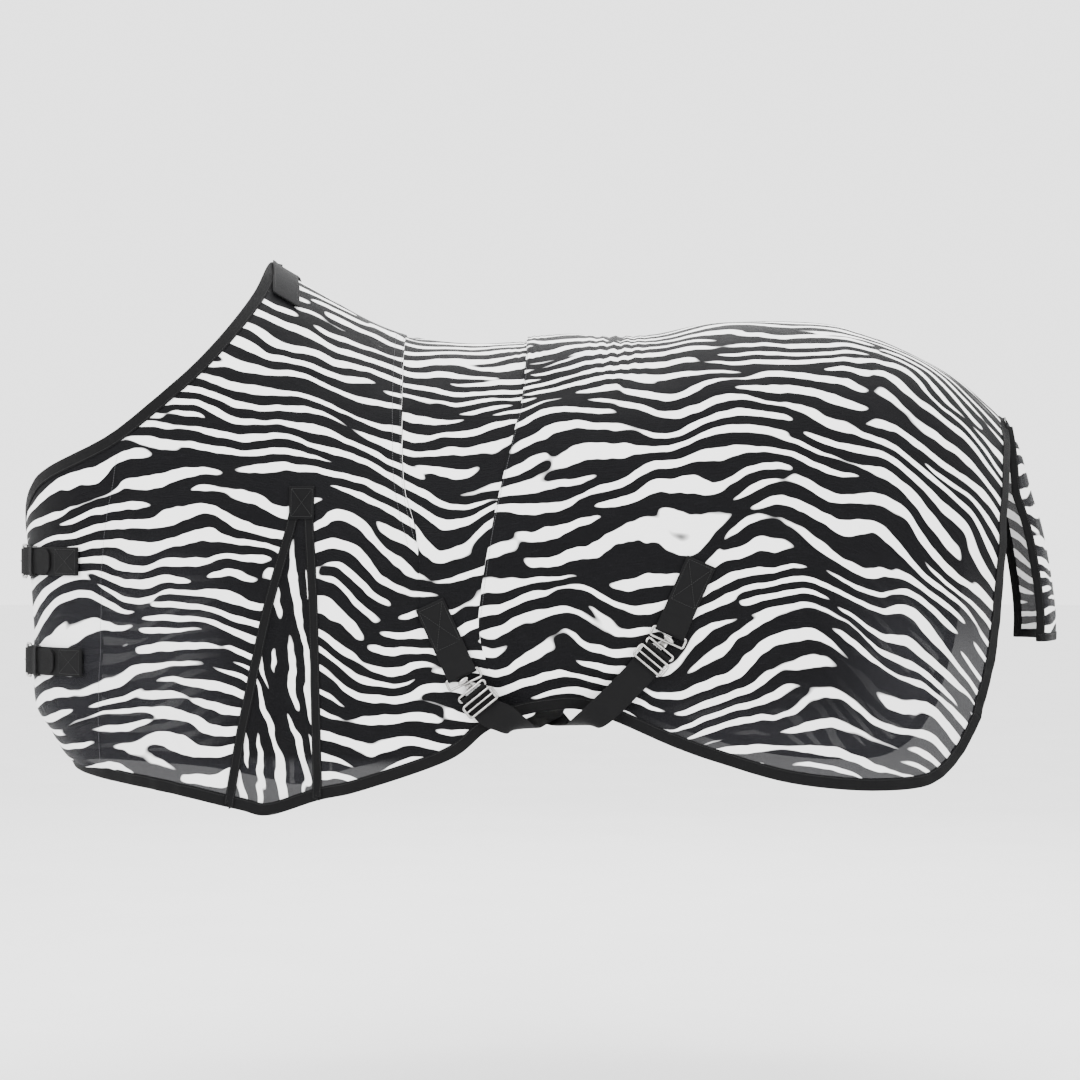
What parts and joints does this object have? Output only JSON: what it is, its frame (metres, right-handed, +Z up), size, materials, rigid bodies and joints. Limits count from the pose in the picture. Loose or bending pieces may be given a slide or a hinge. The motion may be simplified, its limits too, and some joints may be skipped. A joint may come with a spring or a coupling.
{
  "type": "horse fly sheet",
  "caption": "Mesh horse rug with shoulder gussets, buckled chest, crossed belly straps and a tail flap, shaped as worn.",
  "frame": {"origin": "on the horse's back, under the spine of the sheet, about the middle of its length", "axes": "+X towards the tail, -Y the horse's left side, +Z up"},
  "size_m": [1.7981, 0.6794, 0.942],
  "materials": {
    "cloth": "matte",
    "webbing": "matte",
    "felt": "matte",
    "nickel": "polished"
  },
  "bodies": {
    "sheet": {"front_belly_strap": "webbing", "left_barrel_panel": "cloth", "left_chest_facing": "cloth", "left_front_binding": "webbing", "left_front_panel": "cloth", "left_front_patch": "webbing", "left_gusset": "cloth", "left_gusset_back_tape": "webbing", "left_gusset_front_tape": "webbing", "left_gusset_patch": "webbing", "left_hem_binding": "webbing", "left_lower_chest_patch": "webbing", "left_neck_binding": "webbing", "left_rear_binding": "webbing", "left_rear_panel": "cloth", "left_rear_patch": "webbing", "left_upper_chest_patch": "webbing", "lower_chest_keeper": "webbing", "lower_chest_strap": "webbing", "rear_belly_strap": "webbing", "right_barrel_panel": "cloth", "right_chest_facing": "cloth", "right_front_binding": "webbing", "right_front_panel": "cloth", "right_front_patch": "webbing", "right_gusset": "cloth", "right_gusset_back_tape": "webbing", "right_gusset_front_tape": "webbing", "right_gusset_patch": "webbing", "right_hem_binding": "webbing", "right_neck_binding": "webbing", "right_rear_binding": "webbing", "right_rear_panel": "cloth", "right_rear_patch": "webbing", "upper_chest_keeper": "webbing", "upper_chest_strap": "webbing", "wither_patch": "felt"},
    "tail_flap": {"tail_flap": "cloth", "tail_flap_binding": "webbing"},
    "front_ring": {"front_strap_ring": "nickel"},
    "rear_ring": {"rear_strap_ring": "nickel"},
    "front_hook": {"front_strap_hook": "nickel"},
    "rear_hook": {"rear_strap_hook": "nickel"},
    "front_slide": {"front_strap_slide": "nickel"},
    "rear_slide": {"rear_strap_slide": "nickel"},
    "upper_buckle": {"upper_chest_buckle": "nickel"},
    "lower_buckle": {"lower_chest_buckle": "nickel"},
    "upper_prong": {"upper_chest_prong": "nickel"},
    "lower_prong": {"lower_chest_prong": "nickel"}
  },
  "joints": [
    {"name": "tail_flap_lift", "type": "hinge", "parent": "sheet", "child": "tail_flap", "pos_m": [0.812, 0, -0.14], "axis": [0, -1, 0], "range_deg": [0, 70]},
    {"name": "front_ring_swing", "type": "hinge", "parent": "sheet", "child": "front_ring", "pos_m": [-0.12732, -0.31948, -0.57098], "axis": [0.9032, -0.0745, 0.4226], "range_deg": [-15, 0]},
    {"name": "front_hook_swing", "type": "hinge", "parent": "front_ring", "child": "front_hook", "pos_m": [-0.12066, -0.32003, -0.5853], "axis": [0.7745, -0.0638, 0.6293], "range_deg": [0, 26.6]},
    {"name": "front_slide_shift", "type": "slide", "parent": "sheet", "child": "front_slide", "axis": [0.6272, -0.0517, -0.7771], "range_m": [0, 0.008]},
    {"name": "rear_ring_swing", "type": "hinge", "parent": "sheet", "child": "rear_ring", "pos_m": [0.21137, -0.32556, -0.50252], "axis": [0.9135, 0.0131, -0.4067], "range_deg": [-15, 0]},
    {"name": "rear_hook_swing", "type": "hinge", "parent": "rear_ring", "child": "rear_hook", "pos_m": [0.20495, -0.32565, -0.51696], "axis": [0.766, 0.011, -0.6428], "range_deg": [0, 26.6]},
    {"name": "rear_slide_shift", "type": "slide", "parent": "sheet", "child": "rear_slide", "axis": [-0.6427, -0.0092, -0.766], "range_m": [0, 0.008]},
    {"name": "upper_buckle_swing", "type": "hinge", "parent": "sheet", "child": "upper_buckle", "pos_m": [-0.87811, -0.1029, -0.388], "axis": [0, 0, 1], "range_deg": [0, 10]},
    {"name": "upper_prong_swing", "type": "hinge", "parent": "upper_buckle", "child": "upper_prong", "pos_m": [-0.87811, -0.1029, -0.388], "axis": [0, 0, 1], "range_deg": [0, 42]},
    {"name": "lower_buckle_swing", "type": "hinge", "parent": "sheet", "child": "lower_buckle", "pos_m": [-0.87084, -0.10293, -0.557], "axis": [0, 0, 1], "range_deg": [0, 10]},
    {"name": "lower_prong_swing", "type": "hinge", "parent": "lower_buckle", "child": "lower_prong", "pos_m": [-0.87084, -0.10293, -0.557], "axis": [0, 0, 1], "range_deg": [0, 42]}
  ],
  "couplings": [
    {"joint": "front_hook_swing", "follows": "front_ring_swing", "ratio": -1.77},
    {"joint": "rear_hook_swing", "follows": "rear_ring_swing", "ratio": -1.77}
  ]
}
